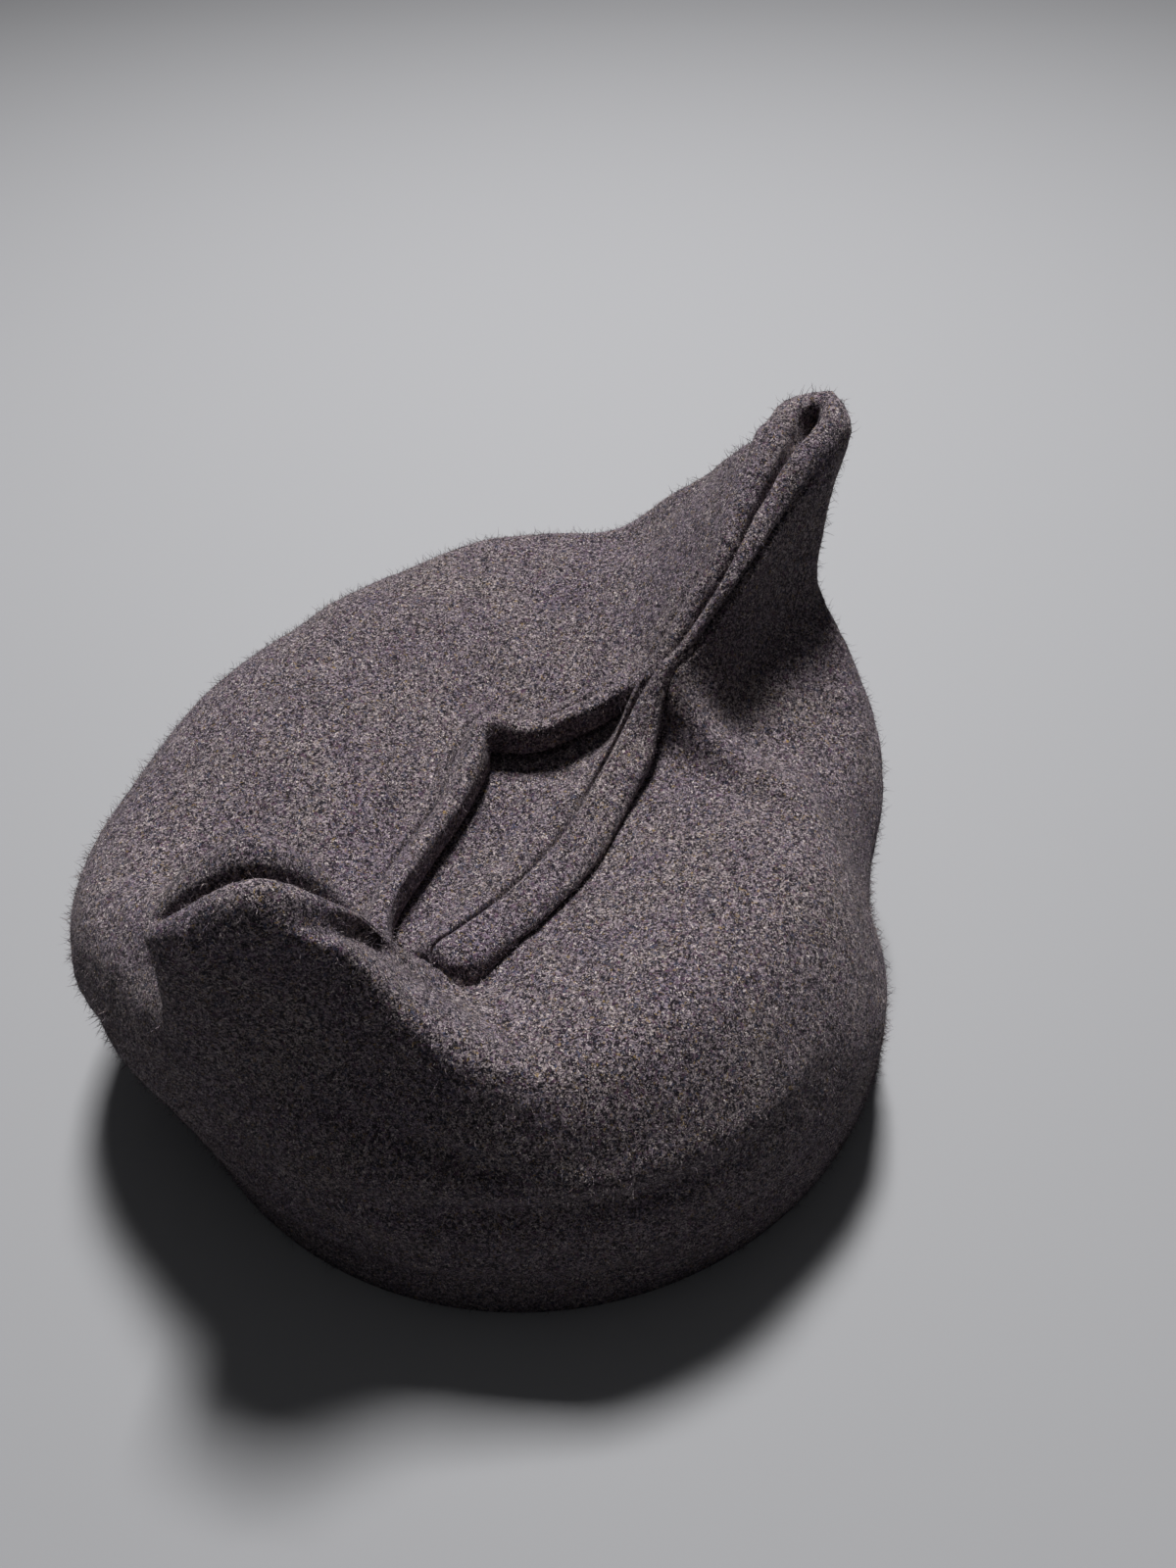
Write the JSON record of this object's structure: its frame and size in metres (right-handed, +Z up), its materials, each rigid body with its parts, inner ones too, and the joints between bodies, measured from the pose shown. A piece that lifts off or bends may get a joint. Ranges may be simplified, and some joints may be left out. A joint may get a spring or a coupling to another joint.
{
  "type": "felt hat with two peaks",
  "caption": "Soft wool felt hat: round rim, low crown and a top seam that rises into a low peak in front and a tall peak behind, parted round a stitched leaf insert.",
  "frame": {"origin": "centre of the hat's outline at the level of the rim, on the surface that it rests on", "axes": "+Z up, +Y along the top seam from the low peak to the tall peak, +X to the right of a wearer who faces along +Y"},
  "size_m": [0.2002, 0.213, 0.134],
  "materials": {
    "crown_felt": "fuzzy boiled wool, dark brown violet heather",
    "leaf_felt": "fuzzy boiled wool, dark brown violet heather"
  },
  "bodies": {
    "root": {"crown_shell": "crown_felt", "leaf_insert": "leaf_felt"}
  },
  "joints": []
}
